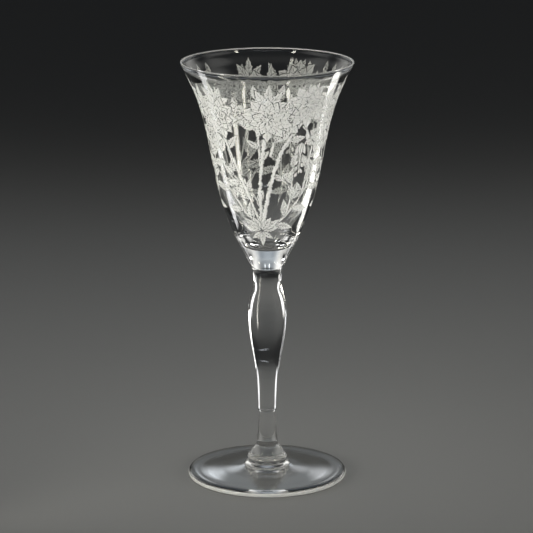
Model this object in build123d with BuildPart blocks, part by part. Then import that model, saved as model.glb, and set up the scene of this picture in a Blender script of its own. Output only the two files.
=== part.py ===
"""A tall stemmed wine glass in clear crystal.

The glass is four gathers of glass, worked one after the other and fused hot:

    bowl    blown, bell-shaped, with a flared fire-polished rim and a thick solid tip
    stem    solid inverted baluster, full under the bowl and slim above the foot
    wafer   small stepped disc that joins the stem to the foot
    foot    round, slightly conical on top, hollowed underneath so that a flat ring rests

All four are bodies of revolution about Z. Each meets the next on a flat seam, face to face.
Units are millimetres. +Z is up, and the origin is the centre of the foot's resting ring.
Outline points are (radius, height).
"""

import os

from build123d import *

# Heights of the rim and of the three seams
HEIGHT = 199.6
BOWL_SEAM_Z = 102.0
WAFER_SEAM_Z = 14.8
FOOT_SEAM_Z = 4.5

# Bowl, outside, from its tip up to the rim
TIP_RADIUS = 7.5
RIM_RADIUS = 40.3
TAPER = (14.6, 116.0)
BELLY = (20.1, 130.0)
WAIST = (25.0, 150.0)
THROAT = (29.0, 170.0)
FLARE = (33.95, 186.0)

# Bowl, inside, from the rim down to the floor of the cavity
RIM_WALL = 1.1
INNER_FLARE = (32.8, 186.0)
INNER_THROAT = (27.8, 170.0)
INNER_WAIST = (23.65, 150.0)
INNER_BELLY = (17.9, 130.0)
INNER_TAPER = (11.4, 119.0)
FLOOR_Z = 113.0

# Stem, from the bowl down to the wafer
NECK = (6.6, 95.0)
KNOP_TOP = (8.5, 86.0)
KNOP = (9.0, 79.0)
SHOULDER = (7.2, 62.0)
SLIM = (5.1, 48.0)
ANKLE = (4.35, 32.0)
STEM_FOOT_RADIUS = 5.2

# Wafer: a cone on a disc, which stands on a wider pad
CONE_MIDDLE = (7.0, 12.9)
CONE_RADIUS = 7.9
CONE_Z = 10.9
DISC_RADIUS = 9.4
DISC_TOP_Z = 9.1
DISC_BOTTOM_Z = 6.9
PAD_RADIUS = 10.9
PAD_MIDDLE_Z = 5.4
PAD_SEAM_RADIUS = 10.4

# Foot
FOOT_RADIUS = 37.6
FOOT_EDGE = 2.95
FOOT_MIDDLE = (22.0, 3.6)
FOOT_FILLET_RADIUS = 12.2
FOOT_FILLET_Z = 4.3
REST_OUTER = 36.3
REST_INNER = 31.0
HOLLOW = 1.1


with BuildPart() as bowl:
    with BuildSketch(Plane.XZ):
        with BuildLine():
            # Outer bell, rounded rim, then the cavity down to its floor
            Spline(
                (TIP_RADIUS, BOWL_SEAM_Z),
                TAPER,
                BELLY,
                WAIST,
                THROAT,
                FLARE,
                (RIM_RADIUS, HEIGHT - RIM_WALL / 2),
                tangents=((0.38, 1), (0.52, 1)),
            )
            ThreePointArc(
                (RIM_RADIUS, HEIGHT - RIM_WALL / 2),
                (RIM_RADIUS - RIM_WALL / 2, HEIGHT),
                (RIM_RADIUS - RIM_WALL, HEIGHT - RIM_WALL / 2),
            )
            Spline(
                (RIM_RADIUS - RIM_WALL, HEIGHT - RIM_WALL / 2),
                INNER_FLARE,
                INNER_THROAT,
                INNER_WAIST,
                INNER_BELLY,
                INNER_TAPER,
                (0, FLOOR_Z),
                tangents=((-0.52, -1), (-1, 0)),
            )
            Polyline((0, FLOOR_Z), (0, BOWL_SEAM_Z), (TIP_RADIUS, BOWL_SEAM_Z))
        make_face()
    revolve(axis=Axis.Z)
bowl.part.label = "bowl"

with BuildPart() as stem:
    with BuildSketch(Plane.XZ):
        with BuildLine():
            Spline(
                (TIP_RADIUS, BOWL_SEAM_Z),
                NECK,
                KNOP_TOP,
                KNOP,
                SHOULDER,
                SLIM,
                ANKLE,
                (STEM_FOOT_RADIUS, WAFER_SEAM_Z),
                tangents=((-0.25, -1), (0.1, -1)),
            )
            Polyline(
                (STEM_FOOT_RADIUS, WAFER_SEAM_Z),
                (0, WAFER_SEAM_Z),
                (0, BOWL_SEAM_Z),
                (TIP_RADIUS, BOWL_SEAM_Z),
            )
        make_face()
    revolve(axis=Axis.Z)
stem.part.label = "stem"

with BuildPart() as wafer:
    with BuildSketch(Plane.XZ):
        with BuildLine():
            Spline(
                (STEM_FOOT_RADIUS, WAFER_SEAM_Z),
                CONE_MIDDLE,
                (CONE_RADIUS, CONE_Z),
                tangents=((1, -0.8), (0.3, -1)),
            )
            Spline(
                (CONE_RADIUS, CONE_Z),
                (DISC_RADIUS, DISC_TOP_Z),
                (DISC_RADIUS - 0.3, DISC_BOTTOM_Z),
                tangents=((1, -0.7), (-0.3, -1)),
            )
            Spline(
                (DISC_RADIUS - 0.3, DISC_BOTTOM_Z),
                (PAD_RADIUS, PAD_MIDDLE_Z),
                (PAD_SEAM_RADIUS, FOOT_SEAM_Z),
                tangents=((1, -0.5), (-0.8, -1)),
            )
            Polyline(
                (PAD_SEAM_RADIUS, FOOT_SEAM_Z),
                (0, FOOT_SEAM_Z),
                (0, WAFER_SEAM_Z),
                (STEM_FOOT_RADIUS, WAFER_SEAM_Z),
            )
        make_face()
    revolve(axis=Axis.Z)
wafer.part.label = "wafer"

with BuildPart() as foot:
    with BuildSketch(Plane.XZ):
        with BuildLine():
            Polyline(
                (REST_INNER, 0),
                (REST_OUTER, 0),
            )
            ThreePointArc(
                (REST_OUTER, 0),
                (FOOT_RADIUS, FOOT_EDGE / 2),
                (REST_OUTER, FOOT_EDGE),
            )
            Spline(
                (REST_OUTER, FOOT_EDGE),
                FOOT_MIDDLE,
                (FOOT_FILLET_RADIUS, FOOT_FILLET_Z),
                (PAD_SEAM_RADIUS, FOOT_SEAM_Z),
            )
            Polyline((PAD_SEAM_RADIUS, FOOT_SEAM_Z), (0, FOOT_SEAM_Z), (0, HOLLOW))
            Spline((0, HOLLOW), (REST_INNER, 0), tangents=((1, 0), (1, -0.05)))
        make_face()
    revolve(axis=Axis.Z)
foot.part.label = "foot"

os.makedirs("parts", exist_ok=True)
for piece in (bowl, stem, wafer, foot):
    export_step(piece.part, f"parts/{piece.part.label}.step")
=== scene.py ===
"""The looks of a tall stemmed wine glass with an acid-etched bowl.

Every glass piece is turned from the half section of its CAD node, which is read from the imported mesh, so the
looks follow the CAD model. The etched flowers are thin closed pieces that lie on the bowl's outer wall.
Lengths are in metres, except in the ornament, which is drawn in millimetres. +Z is up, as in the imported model.
"""

import math
import random

import bpy
import numpy as np
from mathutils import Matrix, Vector
from mathutils.geometry import delaunay_2d_cdt


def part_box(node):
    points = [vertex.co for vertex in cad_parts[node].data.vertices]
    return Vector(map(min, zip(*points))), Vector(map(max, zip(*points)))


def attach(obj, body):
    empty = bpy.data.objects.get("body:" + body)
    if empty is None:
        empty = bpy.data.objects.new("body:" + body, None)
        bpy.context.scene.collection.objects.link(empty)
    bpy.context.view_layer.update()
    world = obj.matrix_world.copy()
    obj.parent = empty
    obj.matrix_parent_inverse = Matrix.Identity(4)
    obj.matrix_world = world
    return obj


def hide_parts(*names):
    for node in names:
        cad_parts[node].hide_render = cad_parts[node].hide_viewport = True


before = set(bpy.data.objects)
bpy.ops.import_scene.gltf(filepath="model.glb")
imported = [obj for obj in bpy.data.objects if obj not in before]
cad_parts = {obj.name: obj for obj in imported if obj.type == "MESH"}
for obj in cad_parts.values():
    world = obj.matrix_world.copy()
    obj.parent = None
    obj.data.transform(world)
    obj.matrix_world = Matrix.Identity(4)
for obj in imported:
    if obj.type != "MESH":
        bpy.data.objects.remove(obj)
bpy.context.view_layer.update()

MM = 0.001
TINY = 1e-7

# How finely the glass is turned.
SEGMENTS = 192
FINEST_STEP = 0.5 * MM
CORNER = math.radians(30)

# The rim is ground over its top (the first length below), except on its outer face, where the outward part of
# the normal passes LIP_TURN. Its near-white colour there is also a painted glow for the light that the wall
# carries up. The foot's outermost edge (the last length below) is painted near white: a painted highlight, not
# wear.
GROUND_GLOW_EDGE = 0.45 * MM
LIP_TURN = 0.6
FOOT_HIGHLIGHT_EDGE = 0.3 * MM

rim_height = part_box("bowl")[1].z
foot_far_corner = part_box("foot")[1]


# ---------------------------------------------------------------- materials

GLASS_IOR = 1.53
ETCH_WHITE = (0.92, 0.92, 0.88, 1)
ETCH_GLOW = (0.88, 0.88, 0.84, 1)
GLOW_SHARE = 0.33
GRAIN_SCALE = 1400.0
MOST_CLEAR = 0.2


def plain(name, **sockets):
    """A Principled material with the given socket values; returns the material and its shader."""
    material = bpy.data.materials.new(name)
    material.use_nodes = True
    shader = material.node_tree.nodes["Principled BSDF"]
    for socket, value in sockets.items():
        shader.inputs[socket.replace("_", " ")].default_value = value
    return material, shader


def let_light_through(material, look, colour):
    """Lets shadow rays pass, dimmed by colour at each wall, so that what is in or behind the glass is lit."""
    tree = material.node_tree
    path = tree.nodes.new("ShaderNodeLightPath")
    clear = tree.nodes.new("ShaderNodeBsdfTransparent")
    clear.inputs["Color"].default_value = (*colour, 1)
    mix = tree.nodes.new("ShaderNodeMixShader")
    tree.links.new(path.outputs["Is Shadow Ray"], mix.inputs["Fac"])
    tree.links.new(look, mix.inputs[1])
    tree.links.new(clear.outputs["BSDF"], mix.inputs[2])
    output = tree.nodes["Material Output"]
    tree.links.new(mix.outputs["Shader"], output.inputs["Surface"])


def crystal_material():
    """Clear glass, a shade cooler than white."""
    material, shader = plain(
        "crystal", Base_Color=(0.985, 0.99, 0.99, 1), Roughness=0.0, IOR=GLASS_IOR, Transmission_Weight=1.0
    )
    let_light_through(material, shader.outputs["BSDF"], (0.98, 0.985, 0.985))
    return material


def ground_glow_material():
    """The rim's ground lip and the foot's outermost edge, painted near white: a painted glow that stands in for
    the light that runs inside the wall and comes out at these edges.
    """
    return plain(
        "ground_lip_and_painted_glow", Base_Color=(0.98, 0.98, 0.95, 1), Roughness=0.3, IOR=GLASS_IOR, Transmission_Weight=0.15
    )[0]


def fused_material():
    """The seams inside the fused glass: nothing is seen there, because the glass runs on."""
    return plain("fused_seam", Base_Color=(1, 1, 1, 1), Roughness=1.0, Alpha=0.0)[0]


def frosted_material():
    """Acid-etched glass: white, matt and glowing from behind, mottled with up to MOST_CLEAR clear glass."""
    material, shader = plain("frosted", Base_Color=ETCH_WHITE, Roughness=0.6, IOR=1.5)
    tree = material.node_tree
    glow = tree.nodes.new("ShaderNodeBsdfTranslucent")
    glow.inputs["Color"].default_value = ETCH_GLOW
    clear = tree.nodes.new("ShaderNodeBsdfTransparent")
    body = tree.nodes.new("ShaderNodeMixShader")
    body.inputs["Fac"].default_value = GLOW_SHARE
    tree.links.new(shader.outputs["BSDF"], body.inputs[1])
    tree.links.new(glow.outputs["BSDF"], body.inputs[2])
    place = tree.nodes.new("ShaderNodeTexCoord")
    grain = tree.nodes.new("ShaderNodeTexNoise")
    grain.inputs["Scale"].default_value = GRAIN_SCALE
    grain.inputs["Detail"].default_value = 3.0
    tree.links.new(place.outputs["Object"], grain.inputs["Vector"])
    window = tree.nodes.new("ShaderNodeMapRange")
    window.inputs["From Min"].default_value = 0.35
    window.inputs["From Max"].default_value = 0.65
    window.inputs["To Min"].default_value = 0.0
    window.inputs["To Max"].default_value = MOST_CLEAR
    tree.links.new(grain.outputs["Fac"], window.inputs["Value"])
    mix = tree.nodes.new("ShaderNodeMixShader")
    tree.links.new(window.outputs["Result"], mix.inputs["Fac"])
    tree.links.new(body.outputs["Shader"], mix.inputs[1])
    tree.links.new(clear.outputs["BSDF"], mix.inputs[2])
    let_light_through(material, mix.outputs["Shader"], (0.8, 0.8, 0.78))
    return material


crystal = crystal_material()
fused = fused_material()
ground_glow = ground_glow_material()
frosted = frosted_material()


# ---------------------------------------------------------------- turned glass


def half_section(node):
    """The CAD node's outline, (radius, height) in order, read where its surfaces of revolution close."""
    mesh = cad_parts[node].data
    place = {}
    for vertex in mesh.vertices:
        x, y, z = vertex.co
        if abs(y) < TINY and x > -TINY:
            place[vertex.index] = (round(x, 6), round(z, 6))
    beside = {}
    for edge in mesh.edges:
        a, b = (place.get(i) for i in edge.vertices)
        if a is not None and b is not None and a != b:
            beside.setdefault(a, set()).add(b)
            beside.setdefault(b, set()).add(a)
    ends = sorted(point for point, others in beside.items() if len(others) == 1)
    line = [ends[0]]
    while len(line) < len(beside):
        line.append(next(p for p in beside[line[-1]] if p not in line[-2:-1]))
    return np.array(line)


def spline(stops, values, fine):
    """The smooth cubic curve through values at stops, read at fine. Its ends follow the not-a-knot rule."""
    count = len(stops)
    if count < 4:
        power = np.vander(stops, count)
        return np.vander(fine, count) @ np.linalg.solve(power, values)
    gap = np.diff(stops)
    rate = np.diff(values, axis=0) / gap[:, None]
    system = np.zeros((count, count))
    right = np.zeros(values.shape)
    for i in range(1, count - 1):
        system[i, i - 1 : i + 2] = gap[i - 1], 2 * (gap[i - 1] + gap[i]), gap[i]
        right[i] = 6 * (rate[i] - rate[i - 1])
    system[0, :3] = gap[1], -(gap[0] + gap[1]), gap[0]
    system[-1, -3:] = gap[-1], -(gap[-1] + gap[-2]), gap[-2]
    bend = np.linalg.solve(system, right)
    i = np.clip(np.searchsorted(stops, fine, side="right") - 1, 0, count - 2)
    g = gap[i][:, None]
    after = (fine - stops[i])[:, None]
    left = g - after
    curve = (bend[i] * left**3 + bend[i + 1] * after**3) / (6 * g)
    from_left = (values[i] / g - bend[i] * g / 6) * left
    from_right = (values[i + 1] / g - bend[i + 1] * g / 6) * after
    return curve + from_left + from_right


def finer(line):
    """Adds points to an outline, on smooth curves that end at its corners and stay in its box."""
    steps = np.diff(line, axis=0)
    lengths = np.linalg.norm(steps, axis=1)
    ways = steps / lengths[:, None]
    turns = np.arccos(np.clip(np.sum(ways[1:] * ways[:-1], axis=1), -1, 1))
    corners = [0, *(np.flatnonzero(turns > CORNER) + 1), len(line) - 1]
    stops = np.concatenate(([0], np.cumsum(lengths)))
    points = []
    for first, last in zip(corners, corners[1:]):
        fine = []
        for i in range(first, last):
            count = max(1, math.ceil(lengths[i] / FINEST_STEP))
            fine += list(stops[i] + lengths[i] * np.arange(count) / count)
        own = slice(first, last + 1)
        points.append(spline(stops[own] - stops[first], line[own], np.array(fine) - stops[first]))
    points.append(line[-1:])
    return np.clip(np.concatenate(points), line.min(axis=0), line.max(axis=0))


def signed_volume(vertices, faces):
    """Six times the volume that the faces enclose, negative where they face inwards."""
    return sum(
        Vector(vertices[f[0]]).dot(Vector(vertices[f[k]]).cross(Vector(vertices[f[k + 1]])))
        for f in faces
        for k in range(1, len(f) - 1)
    )


def is_ground_glow_edge(polygon):
    """Whether a face lies on the rim's ground lip or on the foot's outermost edge, which both get the painted
    glow.
    """
    middle = polygon.center
    if middle.z > rim_height - GROUND_GLOW_EDGE:
        return polygon.normal.xy.dot(middle.xy.normalized()) < LIP_TURN
    return middle.z < foot_far_corner.z and middle.xy.length > foot_far_corner.x - FOOT_HIGHLIGHT_EDGE


def turned(name, line):
    """A closed mesh of revolution about Z. An outline that ends off the axis gets a flat fused seam there."""
    on_axis = line[:, 0] < TINY
    vertices = []
    rings = []
    for (radius, height), pole in zip(line, on_axis):
        if pole:
            rings.append([len(vertices)] * SEGMENTS)
            vertices.append((0, 0, height))
        else:
            start = len(vertices)
            rings.append(list(range(start, start + SEGMENTS)))
            for k in range(SEGMENTS):
                angle = 2 * math.pi * k / SEGMENTS
                vertices.append((radius * math.cos(angle), radius * math.sin(angle), height))
    faces = []
    for low, high in zip(rings, rings[1:]):
        for k in range(SEGMENTS):
            n = (k + 1) % SEGMENTS
            face = [low[k], low[n], high[n], high[k]]
            faces.append(list(dict.fromkeys(face)))
    walls = len(faces)
    for end, ring in ((0, rings[0]), (-1, rings[-1])):
        if not on_axis[end]:
            middle = len(vertices)
            vertices.append((0, 0, line[end][1]))
            for k in range(SEGMENTS):
                pair = (ring[(k + 1) % SEGMENTS], ring[k])
                faces.append([middle, *(pair if end == 0 else pair[::-1])])
    mesh = bpy.data.meshes.new(name)
    mesh.from_pydata(vertices, [], faces)
    if signed_volume(vertices, faces) < 0:
        mesh.flip_normals()
    for material in (crystal, fused, ground_glow):
        mesh.materials.append(material)
    for i, polygon in enumerate(mesh.polygons):
        if i >= walls:
            polygon.material_index = 1
        # The rim's lip and the foot's outer edge take the near-white painted glow, which stands in for light
        # from the wall.
        elif is_ground_glow_edge(polygon):
            polygon.material_index = 2
    mesh.polygons.foreach_set("use_smooth", [i < walls for i in range(len(faces))])
    mesh.update()
    piece = bpy.data.objects.new(name, mesh)
    bpy.context.collection.objects.link(piece)
    return piece


for node in ("bowl", "stem", "wafer", "foot"):
    glass = turned(f"{node}_glass", finer(half_section(node)))
    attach(glass, "root")
    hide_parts(node)


# ---------------------------------------------------------------- etched ornament

# The ornament is drawn in millimetres on the unrolled wall: across is the angle from the bouquet's middle
# times UNROLL, up is the height. Later marks cover earlier ones, and a mark is either inked (etched) or
# clear. LINE is the clear line left round a petal, leaf or stem. The etched sheet lies between ETCH_BACK and
# ETCH_FACE off the wall, and its mesh has points GRID apart, merged where they are closer than MERGE. The
# wall's slope is measured over SLOPE_REACH each way.

UNROLL = 25.0
REPEATS = 3
FIRST_ANGLE = -3.0
SECTOR = 2 * math.pi / REPEATS * UNROLL
LINE = 0.18
ETCH_BACK = 0.03
ETCH_FACE = 0.06
GRID = 1.2
SLOPE_REACH = 0.5
MERGE = 1e-3

dice = random.Random(11)

outside = finer(half_section("bowl")) / MM
outside = outside[np.argmax(outside[:, 1]) :][::-1]


def wall_radius(height):
    """The bowl's outer radius at a height, both in millimetres."""
    return np.interp(height, outside[:, 1], outside[:, 0])


def wall_slope(height):
    """How fast the radius grows with the height."""
    rise = wall_radius(height + SLOPE_REACH) - wall_radius(height - SLOPE_REACH)
    return rise / (2 * SLOPE_REACH)


def placed(shape, at, turn=0.0):
    """Puts a flat shape on the wall, its origin at (angle, height), turned anticlockwise by degrees."""
    shape = np.asarray(shape, float)
    c, s = math.cos(math.radians(turn)), math.sin(math.radians(turn))
    across = shape[:, 0] * c - shape[:, 1] * s
    up = shape[:, 0] * s + shape[:, 1] * c
    height = at[1] + up / math.hypot(1, wall_slope(at[1]))
    angle = math.radians(at[0]) + across / wall_radius(height)
    return np.column_stack((angle * UNROLL, height))


class Drawing:
    """Marks in the order they are drawn: each an outline on the unrolled wall, inked or clear."""

    def __init__(self):
        self.marks = []

    def mark(self, shape, at, turn=0.0, inked=True):
        """Draws a flat shape at (angle, height), turned anticlockwise by degrees."""
        self.marks.append((placed(shape, at, turn), inked))

    def vein(self, start, end, at, turn, wide, thin):
        """A tapered clear line from start to end, in the shape's own millimetres."""
        start, end = np.array(start), np.array(end)
        way = (end - start) / np.linalg.norm(end - start)
        side = np.array((-way[1], way[0]))
        quad = [start + side * wide, start - side * wide, end - side * thin, end + side * thin]
        self.mark(quad, at, turn, inked=False)


# How far from a saw tooth's ends its notch and its point lie, and how abruptly a blade narrows to its tip.
NOTCH = 0.15
TIP_SHARPNESS = 1.7

# Veins, as parts of a blade's length or width.
MIDRIB_START = 0.06
MIDRIB_END = 0.86
FIRST_VEIN = 0.14
VEIN_SPREAD = 0.6
VEIN_REACH = 0.36
VEIN_SLANT = 1.1
MIDRIB_TIP = 0.05


def blade(length, width, swell, base, teeth, depth, grow=0.0):
    """A petal or leaf outline that stands on the origin, tip up, widest at swell, with saw teeth.

    Base is how wide its foot is and depth how deep the teeth are, both as parts of the width. Grow moves the
    whole outline outwards.
    """
    half = [(0.0, base)]
    for k in range(teeth):
        for step, bite in ((NOTCH, depth), (1 - NOTCH, 0.0)):
            t = (k + step) / teeth
            rise = base + (1 - base) * math.sin(min(t / swell, 1) * math.pi / 2)
            fall = 1 - max(0.0, (t - swell) / (1 - swell)) ** TIP_SHARPNESS
            half.append((t, rise * fall * (1 - bite)))
    stretch = (length + 3 * grow) / length
    right = [(w * width / 2 + grow, t * length * stretch - grow) for t, w in half]
    if base == 0 and grow == 0:
        right[0] = (0.0, 0.0)
        return right + [(0.0, length)] + [(-x, y) for x, y in right[:0:-1]]
    return right + [(0.0, length + 2 * grow)] + [(-x, y) for x, y in right[::-1]]


def disc(radius, count):
    """A round dot with so many sides."""
    turns = np.arange(count) * 2 * math.pi / count
    return np.column_stack((radius * np.cos(turns), radius * np.sin(turns)))


def hatched(drawing, at, turn, length, width, lift, swell, pairs, bold):
    """A clear midrib, and pairs of clear side veins that slant towards the tip."""
    foot, tip = lift + MIDRIB_START * length, lift + MIDRIB_END * length
    drawing.vein((0, foot), (0, tip), at, turn, bold * 1.2, MIDRIB_TIP)
    for k in range(pairs):
        low = FIRST_VEIN + VEIN_SPREAD * k / pairs
        reach = width * VEIN_REACH * math.sin(math.pi * min(1.0, low + 0.5 - swell * 0.6))
        for side in (-1, 1):
            start = (side * bold, lift + low * length)
            end = (side * reach, lift + low * length + reach * VEIN_SLANT)
            drawing.vein(start, end, at, turn, bold, bold * 0.5)


def petal(drawing, at, turn, length, width, lift):
    """One pointed, toothed petal, with a clear line all round it."""
    up = np.array((0.0, lift))
    for grow, inked in ((LINE, False), (0.0, True)):
        drawing.mark(np.array(blade(length, width, 0.5, 0.35, 5, 0.22, grow)) + up, at, turn, inked)
    hatched(drawing, at, turn, length, width, lift, 0.55, 2, 0.09)


def leaf(drawing, at, turn, length, width, pairs=4):
    """A pointed leaf with deep teeth, with a clear line all round it."""
    for grow, inked in ((LINE, False), (0.0, True)):
        drawing.mark(blade(length, width, 0.42, 0.0, 6, 0.36, grow), at, turn, inked)
    hatched(drawing, at, turn, length, width, 0.0, 0.42, pairs, 0.08)


# How far petals vary, how much of their reach they leave free at the middle, and how far each ring is turned.
PETAL_SWING = 7
PETAL_SIZES = (0.84, 1.04)
PETAL_FOOT = 0.12
RING_TURN = 23

STAMENS = 9
STAMEN_SWING = 8
STAMEN_FOOT = 0.06
STAMEN_ENDS = (0.24, 0.34)
EYE = 0.08


def flower(drawing, at, radius, turn, rings):
    """An open flower seen from the front, no two petals alike. A ring is (reach, petals, width)."""
    for ring, (reach, number, width) in enumerate(rings):
        for k in range(number):
            angle = turn + ring * RING_TURN + 360 * k / number + dice.uniform(-PETAL_SWING, PETAL_SWING)
            size = radius * reach * dice.uniform(*PETAL_SIZES)
            petal(drawing, at, angle, size * (1 - PETAL_FOOT), radius * width, size * PETAL_FOOT)
    for k in range(STAMENS):
        angle = 360 / STAMENS * k + dice.uniform(-STAMEN_SWING, STAMEN_SWING)
        end = radius * dice.uniform(*STAMEN_ENDS)
        drawing.vein((0, radius * STAMEN_FOOT), (0, end), at, angle, 0.12, 0.2)
    drawing.mark(disc(radius * EYE, 8), at)


def spray(drawing, at, turn, length, count, spread):
    """A fan of narrow toothed leaves from one point, shorter towards its sides."""
    for k in range(count):
        side = 2 * k / (count - 1) - 1
        leaf(drawing, at, turn + spread * side, length * (1 - 0.22 * abs(side)), length * 0.4, pairs=3)


def catmull(values, spread):
    """Values on a smooth Catmull-Rom curve through the given ones, at fractional places in their list."""
    padded = np.concatenate(([2 * values[0] - values[1]], values, [2 * values[-1] - values[-2]]))
    i = np.minimum(spread.astype(int), len(values) - 2)
    t = spread - i
    a, b, c, d = (padded[i + k] for k in range(4))
    return 0.5 * (2 * b + (c - a) * t + (2 * a - 5 * b + 4 * c - d) * t**2 + (3 * b - a - 3 * c + d) * t**3)


def on_wall(line):
    """Millimetres across and up for (angle, height) points, each at the wall's own radius."""
    return np.column_stack((np.radians(line[:, 0]) * wall_radius(line[:, 1]), line[:, 1]))


def along(route, pitch):
    """Places every pitch millimetres on a smooth route of (angle, height) points, and its way at each."""
    route = np.array(route, float)
    spread = np.linspace(0, len(route) - 1, 1 + 12 * (len(route) - 1))
    smooth = np.column_stack([catmull(route[:, i], spread) for i in (0, 1)])
    steps = np.linalg.norm(np.diff(on_wall(smooth), axis=0), axis=1)
    run = np.concatenate(([0], np.cumsum(steps)))
    stops = np.linspace(0, run[-1], max(4, int(run[-1] / pitch)))
    line = np.column_stack([np.interp(stops, run, smooth[:, i]) for i in (0, 1)])
    way = np.gradient(on_wall(line), axis=0)
    return line, way / np.linalg.norm(way, axis=1)[:, None]


# How far a stem's edge falls back and stands out, as parts of its half width.
THORNS = (-0.4, 0.6)


def ribbon(drawing, route, wide, narrow, rough=1.0, pitch=0.65):
    """A thorny stem along a smooth route, tapering from wide to narrow, with a clear line all round it.

    Rough is how far the thorns stand out, pitch how far apart they are in millimetres.
    """
    line, way = along(route, pitch)
    radius = wall_radius(line[:, 1])
    thorns = [np.array([1 + rough * dice.uniform(*THORNS) for _ in line]) for _ in range(2)]
    for grow, inked in ((LINE, False), (0.0, True)):
        sides = []
        for sign, thorn in zip((1, -1), thorns):
            half = np.linspace(wide, narrow, len(line)) / 2 * thorn + grow
            angle = np.radians(line[:, 0]) - sign * way[:, 1] * half / radius
            height = line[:, 1] + sign * way[:, 0] * half
            sides.append(np.column_stack((angle * UNROLL, height)))
        drawing.marks.append((np.concatenate((sides[1], sides[0][::-1])), inked))


# How far apart a twig's leaves are, how they lean out in degrees, and how they vary in length and in width
# for their length.
LEAF_SPACING = 5.0
LEAF_LEANS = (42, 58)
LEAF_SIZES = (0.85, 1.1)
LEAF_WIDTHS = (0.44, 0.54)


def frond(drawing, route, wide, length):
    """A leafy twig: leaves stand out left and right of it by turns, and one ends it."""
    ribbon(drawing, route, wide, wide * 0.6)
    line, way = along(route, LEAF_SPACING)
    for k in range(1, len(line)):
        course = math.degrees(math.atan2(-way[k][0], way[k][1]))
        side = 0 if k == len(line) - 1 else (-1) ** k * dice.uniform(*LEAF_LEANS)
        size = length * dice.uniform(*LEAF_SIZES)
        leaf(drawing, line[k], course + side, size, size * dice.uniform(*LEAF_WIDTHS))


def bud(drawing, at, length):
    """A drooping bud with a fringe of drops under it."""
    for turn in (155, 205, 180):
        for grow, inked in ((LINE, False), (0.0, True)):
            drawing.mark(blade(length, length * 0.42, 0.45, 0.2, 5, 0.1, grow), at, turn, inked)
    drawing.vein((0, 0.2 * length), (0, 0.8 * length), at, 180, 0.14, 0.08)
    ribbon(drawing, [(at[0], at[1] - length * 0.8), (at[0] + 0.4, at[1] - length * 2.3)], 0.7, 0.5)
    for k in range(7):
        side = (k % 2) * 2 - 1
        spot = (at[0] + side * (2.6 - 0.2 * k), at[1] - length * (0.85 + 0.22 * k))
        drawing.mark(blade(2.6, 1.5, 0.6, 0.1, 3, 0.0), spot, 180 + side * 28)


# Everything in a bouquet stands at (degrees from its middle, height in mm). Turns are anticlockwise from
# upright. Rings of petals, outermost first: (reach, petals, width), the reach and the width as parts of the
# flower's radius.

FULL = ((1.0, 10, 0.5), (0.74, 8, 0.44), (0.46, 6, 0.36))
OPEN = ((1.0, 10, 0.5), (0.7, 8, 0.42))
SMALL = ((1.0, 7, 0.62), (0.6, 5, 0.5))
ROOT = (-4, 125)

# Route, width of the twig, length of its leaves.
FRONDS = (
    ([ROOT, (-24, 132), (-44, 144), (-60, 152)], 1.2, 9.0),
    ([(-22, 136), (-38, 150), (-50, 162), (-60, 180)], 1.1, 9.0),
    ([(-34, 156), (-38, 166), (-36, 184)], 1.1, 8.5),
    ([ROOT, (14, 127), (32, 133), (50, 144), (60, 160)], 1.2, 9.0),
    ([(28, 132), (31, 141), (30, 154)], 1.0, 7.5),
    ([(16, 162), (26, 170), (28, 188)], 1.0, 8.0),
    ([(46, 142), (50, 160), (56, 185)], 1.1, 9.0),
    ([(-3, 152), (-5, 166), (-6, 188)], 1.0, 7.5),
    ([(6, 160), (11, 172), (13, 189)], 1.0, 8.0),
    ([(4, 146), (11, 151), (17, 150), (26, 146)], 1.0, 7.0),
    ([(-4, 134), (-12, 141), (-20, 142)], 1.0, 7.5),
    ([(-14, 138), (-22, 145), (-34, 150)], 1.0, 7.5),
)

# Route, width at the root, width at the flower.
STEMS = (
    ([ROOT, (-16, 138), (-28, 152), (-42, 170)], 1.1, 0.9),
    ([ROOT, (-5, 140), (-3, 155), (2, 172)], 1.6, 1.4),
    ([ROOT, (3, 138), (11, 154), (21, 166), (38, 178)], 1.5, 1.3),
)

# Foot, turn, length, leaves, half angle of the fan.
SPRAYS = (
    ((-4, 124), -56, 10, 3, 24),
    ((-6, 124), 54, 10, 3, 26),
    ((-4, 123), 180, 8, 3, 50),
    ((-24, 176), 0, 13, 5, 90),
    ((21, 179), 0, 12, 5, 100),
    ((-42, 184), 4, 12, 5, 70),
    ((38, 187), 0, 9.5, 6, 85),
    ((3, 183), -4, 13, 5, 66),
    ((60, 180), 0, 13, 5, 80),
)

# Middle, radius, turn, rings.
FLOWERS = (
    ((60, 168), 9.0, 10, SMALL),
    ((20, 176), 8.5, 25, SMALL),
    ((-24, 180), 7.0, 5, SMALL),
    ((-43, 178), 11.8, 10, FULL),
    ((38, 184), 12.5, 4, FULL),
    ((3, 178), 11.8, 0, OPEN),
)


def bouquet():
    """The marks of one bouquet: twigs at the back, then stems, sprays, flowers and the bud."""
    drawing = Drawing()
    for route, wide, length in FRONDS:
        frond(drawing, route, wide, length)
    for route, wide, narrow in STEMS:
        ribbon(drawing, route, wide, narrow, rough=1.3, pitch=0.55)
    ribbon(drawing, [(36, 174), (44, 169), (39, 163)], 1.0, 0.9)
    for at, turn, length, count, spread in SPRAYS:
        spray(drawing, at, turn, length, count, spread)
    for at, radius, turn, rings in FLOWERS:
        flower(drawing, at, radius, turn, rings)
    bud(drawing, (37, 166), 6.5)
    return drawing.marks


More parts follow.
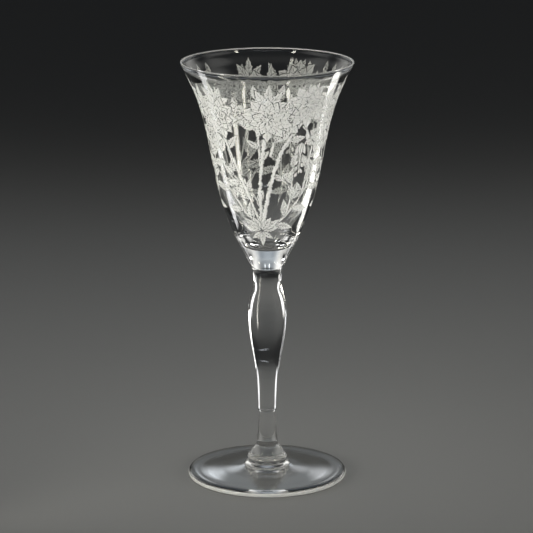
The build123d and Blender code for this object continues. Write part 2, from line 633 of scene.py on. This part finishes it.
def inked_triangles(marks):
    """Cuts the marks into one flat mesh, a sector wide, and keeps the triangles whose last mark is inked.

    What crosses one side of the sector comes in again at its other side, where the next bouquet begins.
    """
    outlines = []
    inked = []
    for outline, ink in marks:
        for shift in (-SECTOR, 0, SECTOR):
            moved = outline + (shift, 0)
            if moved[:, 0].max() > -SECTOR / 2 and moved[:, 0].min() < SECTOR / 2:
                outlines.append(moved)
                inked.append(ink)
    points = []
    faces = []
    for outline in outlines:
        area = np.sum(outline[:, 0] * np.roll(outline[:, 1], -1) - outline[:, 1] * np.roll(outline[:, 0], -1))
        outline = outline if area > 0 else outline[::-1]
        faces.append(list(range(len(points), len(points) + len(outline))))
        points += [Vector(p) for p in outline]
    low = min(p.y for p in points)
    high = max(p.y for p in points)
    sides = []
    for side in (-SECTOR / 2, SECTOR / 2):
        sides.append((len(points), len(points) + 1))
        points += [Vector((side, low - 1)), Vector((side, high + 1))]
    # Rows of loose points, every other one shifted by half a step, keep the triangles small enough to bend.
    for row, height in enumerate(np.arange(low, high, GRID)):
        step = GRID * UNROLL / wall_radius(height)
        start = -SECTOR / 2 + step * (0.5 + 0.5 * (row % 2))
        points += [Vector((x, height)) for x in np.arange(start, SECTOR / 2 - 0.3 * step, step)]
    flat, _, triangles, _, _, owners = delaunay_2d_cdt(points, sides, faces, 1, MERGE, True)
    kept = []
    for triangle, own in zip(triangles, owners):
        middle = sum(flat[i].x for i in triangle) / 3
        if own and inked[max(own)] and abs(middle) < SECTOR / 2:
            kept.append(triangle)
    return flat, kept


def parted(triangles):
    """Numbers the corners afresh, so that patches that only meet in a point don't share it.

    Gives the renumbered triangles, and the old number of each new corner.
    """
    leader = {}

    def first(corner):
        """The corner that stands for all the corners joined to this one."""
        while leader.setdefault(corner, corner) != corner:
            corner = leader[corner]
        return corner

    beside = {}
    for n, triangle in enumerate(triangles):
        for k in range(3):
            a, b = triangle[k], triangle[(k + 1) % 3]
            other = beside.pop((b, a), None)
            if other is None:
                beside[a, b] = n
            else:
                leader[first((n, a))] = first((other, a))
                leader[first((n, b))] = first((other, b))
    fresh = {}
    renumbered = []
    for n, triangle in enumerate(triangles):
        renumbered.append([fresh.setdefault(first((n, i)), len(fresh)) for i in triangle])
    return renumbered, [corner[1] for corner in fresh]


def etched(name, flat, triangles, middle):
    """A thin closed sheet on the bowl's outer wall, from triangles on the unrolled wall."""
    triangles, used = parted(triangles)
    height = np.array([flat[i][1] for i in used])
    angle = np.array([flat[i][0] for i in used]) / UNROLL + math.radians(middle)
    slope = wall_slope(height)
    lean = np.hypot(1, slope)
    layers = []
    for offset in (ETCH_BACK, ETCH_FACE):
        radius = wall_radius(height) + offset / lean
        up = height - offset * slope / lean
        layers.append(np.column_stack((radius * np.sin(angle), -radius * np.cos(angle), up)))
    count = len(used)
    face = [[i + count for i in t] for t in triangles]
    back = [t[::-1] for t in triangles]
    edges = {(t[k], t[(k + 1) % 3]) for t in triangles for k in range(3)}
    sides = [[a, b, b + count, a + count] for a, b in sorted(edges) if (b, a) not in edges]
    mesh = bpy.data.meshes.new(name)
    mesh.from_pydata((np.concatenate(layers) * MM).tolist(), [], face + back + sides)
    mesh.materials.append(frosted)
    mesh.materials.append(fused)
    mesh.polygons.foreach_set("material_index", [int(i >= len(face)) for i in range(len(mesh.polygons))])
    mesh.polygons.foreach_set("use_smooth", [i < len(face) for i in range(len(mesh.polygons))])
    mesh.update()
    piece = bpy.data.objects.new(name, mesh)
    bpy.context.collection.objects.link(piece)
    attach(piece, "root")


flat_mesh = inked_triangles(bouquet())
for turn in range(REPEATS):
    etched(f"etched_bouquet_{turn + 1}", *flat_mesh, FIRST_ANGLE + 360 * turn / REPEATS)


# ---------------------------------------------------------------- studio

BOWL_HEIGHT = 0.75
FLOOR_HALF = 6.0
FLOOR_GAP = 0.05 * MM
CREAM = (1, 0.97, 0.86)
DEEP_CREAM = (1, 0.95, 0.82)
WARM = (1, 0.99, 0.95)
WARM_EDGE = (1, 0.99, 0.94)
SKY = (0.9, 0.95, 1)
PALE_SKY = (0.95, 0.97, 1)
LOW_SKY = (0.85, 0.93, 1)
HIGH_SKY = (0.8, 0.9, 1)
COOL = (0.88, 0.92, 1)
HORIZON_LIGHT = 0.012
OVERHEAD_LIGHT = 0.03


def floor():
    """A plain matt floor, FLOOR_GAP below the glass."""
    material = plain("floor", Base_Color=(0.36, 0.36, 0.355, 1), Roughness=0.6)[0]
    mesh = bpy.data.meshes.new("floor")
    corners = [(FLOOR_HALF * x, FLOOR_HALF * y, 0) for x, y in ((-1, -1), (1, -1), (1, 1), (-1, 1))]
    mesh.from_pydata(corners, [], [(0, 1, 2, 3)])
    mesh.materials.append(material)
    plane = bpy.data.objects.new("floor", mesh)
    plane.location.z = -FLOOR_GAP
    bpy.context.collection.objects.link(plane)


def fade_to_edges(data, edge):
    """A softbox is brightest in its middle: its light falls to nothing over the outer part of each side."""
    data.use_nodes = True
    tree = data.node_tree
    place = tree.nodes.new("ShaderNodeSeparateXYZ")
    tree.links.new(tree.nodes.new("ShaderNodeNewGeometry").outputs["Parametric"], place.inputs["Vector"])
    strength = None
    for side in "XY":
        for border, inner in ((0.0, edge), (1.0, 1.0 - edge)):
            fade = tree.nodes.new("ShaderNodeMapRange")
            fade.interpolation_type = "SMOOTHSTEP"
            fade.inputs["From Min"].default_value = border
            fade.inputs["From Max"].default_value = inner
            tree.links.new(place.outputs[side], fade.inputs["Value"])
            if strength is None:
                strength = fade.outputs["Result"]
                continue
            both = tree.nodes.new("ShaderNodeMath")
            both.operation = "MULTIPLY"
            tree.links.new(strength, both.inputs[0])
            tree.links.new(fade.outputs["Result"], both.inputs[1])
            strength = both.outputs["Value"]
    tree.links.new(strength, tree.nodes["Emission"].inputs["Strength"])


def softbox(
    name, azimuth, distance, low, high, width, brightness, colour=(1, 1, 1), *, grid, edge=0.3, seen=True
):
    """A soft lamp that faces the bowl, its distance and width in metres.

    Azimuth is its bearing from the front, and low and high are the elevations of its edges, in degrees as
    the bowl sees them. Brightness is what the glass sees. A grid, as on a real softbox, keeps the light
    within that many degrees, and edge is the part of each side over which it fades. A lamp that isn't seen
    in the glass or through it lights the etching and no more.
    """
    middle = math.radians((low + high) / 2)
    tall = 2 * distance * math.tan(math.radians(high - low) / 2)
    data = bpy.data.lights.new(name, "AREA")
    data.shape = "RECTANGLE"
    data.size, data.size_y = width, tall
    data.spread = math.radians(grid)
    half = data.spread / 2
    focus = math.tan(half) / (math.tan(half) - half)
    data.energy = brightness * math.pi * width * tall / focus
    data.color = colour
    fade_to_edges(data, edge)
    lamp = bpy.data.objects.new(name, data)
    turn = math.radians(azimuth)
    reach = distance * math.cos(middle)
    height = BOWL_HEIGHT * rim_height + distance * math.sin(middle)
    lamp.location = (reach * math.sin(turn), -reach * math.cos(turn), height)
    lamp.rotation_euler = (math.pi / 2 - middle, 0, turn)
    lamp.visible_camera = False
    lamp.visible_transmission = seen
    lamp.visible_glossy = seen
    bpy.context.collection.objects.link(lamp)


def studio():
    """Strips make streaks, a front ring lights the etching, and panels fill the solid glass with white."""
    floor()
    softbox("strip_left", -40, 0.75, 8, 40, 0.07, 20, CREAM, grid=54, edge=0.2)
    softbox("strip_right", 45, 0.75, 6, 34, 0.07, 20, DEEP_CREAM, grid=54, edge=0.2)
    softbox("low_left", -60, 0.2, -42, 12, 0.03, 12, CREAM, grid=100, edge=0.12)
    for side, name in ((-1, "left"), (1, "right")):
        for number, azimuth in enumerate((16, 33, 50, 67, 84)):
            lamp = f"front_{name}_{number}"
            softbox(lamp, side * azimuth, 0.5, -14, 9, 0.36, 8, grid=46, edge=0.5, seen=False)
        softbox(f"panel_{name}", side * 144, 1.0, -4, 46, 0.95, 1.2, WARM, grid=70, edge=0.35)
        softbox(f"wing_{name}", side * 76, 1.0, 3, 38, 1.3, 1.0, WARM, grid=80, edge=0.3)
        softbox(f"ankle_{name}", side * 133, 0.17, -58, -36, 0.04, 2.5, grid=120, edge=0.3)
    softbox("edge_left", -106, 0.15, -43, -12, 0.032, 8, grid=70, edge=0.1)
    softbox("edge_right", 118, 0.15, -43, -12, 0.05, 10, WARM_EDGE, grid=70, edge=0.1)
    softbox("back_left", -175.2, 1.0, 9, 17, 0.05, 2.4, SKY, grid=60, edge=0.45)
    softbox("back_right", 175.2, 1.0, 9, 17, 0.05, 1.5, PALE_SKY, grid=60, edge=0.45)
    softbox("back_low", 184, 1.0, 8, 25, 1.1, 0.4, LOW_SKY, grid=80)
    softbox("back_high", 180, 1.0, 17, 50, 1.0, 0.45, HIGH_SKY, grid=80, edge=0.25)
    softbox("over", 0, 0.5, 75, 105, 0.25, 1, grid=120)
    softbox("arc", 6, 1.1, 21.5, 23.5, 0.4, 5, COOL, grid=60)
    room()


def room():
    """A dim room: a little light from all round, more from above than from the horizon."""
    world = bpy.data.worlds.new("room")
    world.use_nodes = True
    tree = world.node_tree
    tree.nodes["Background"].inputs["Color"].default_value = (*SKY, 1)
    way = tree.nodes.new("ShaderNodeSeparateXYZ")
    tree.links.new(tree.nodes.new("ShaderNodeTexCoord").outputs["Generated"], way.inputs["Vector"])
    glow = tree.nodes.new("ShaderNodeMapRange")
    glow.interpolation_type = "SMOOTHSTEP"
    glow.inputs["From Min"].default_value = 0.0
    glow.inputs["From Max"].default_value = 0.5
    glow.inputs["To Min"].default_value = HORIZON_LIGHT
    glow.inputs["To Max"].default_value = OVERHEAD_LIGHT
    tree.links.new(way.outputs["Z"], glow.inputs["Value"])
    tree.links.new(glow.outputs["Result"], tree.nodes["Background"].inputs["Strength"])
    bpy.context.scene.world = world


LENS = 178.6
SHIFT = -0.0013
CAMERA_BACK = 6.043
CAMERA_UP = 2.0096
CAMERA_DOWN = 13.925


def camera():
    """A long lens, 1.2 m away, looking down by CAMERA_DOWN degrees. Its place is in heights of the glass."""
    data = bpy.data.cameras.new("camera")
    data.sensor_width = 36.0
    data.lens = LENS
    data.shift_x = SHIFT
    data.clip_end = 50
    view = bpy.data.objects.new("camera", data)
    view.location = (0, -CAMERA_BACK * rim_height, CAMERA_UP * rim_height)
    view.rotation_euler = (math.radians(90 - CAMERA_DOWN), 0, 0)
    bpy.context.collection.objects.link(view)
    scene = bpy.context.scene
    scene.camera = view
    scene.view_settings.view_transform = "Standard"
    scene.cycles.max_bounces = 32
    scene.cycles.transmission_bounces = 32
    scene.cycles.glossy_bounces = 12
    scene.cycles.transparent_max_bounces = 48
    scene.cycles.caustics_reflective = False
    scene.cycles.caustics_refractive = False


studio()
camera()
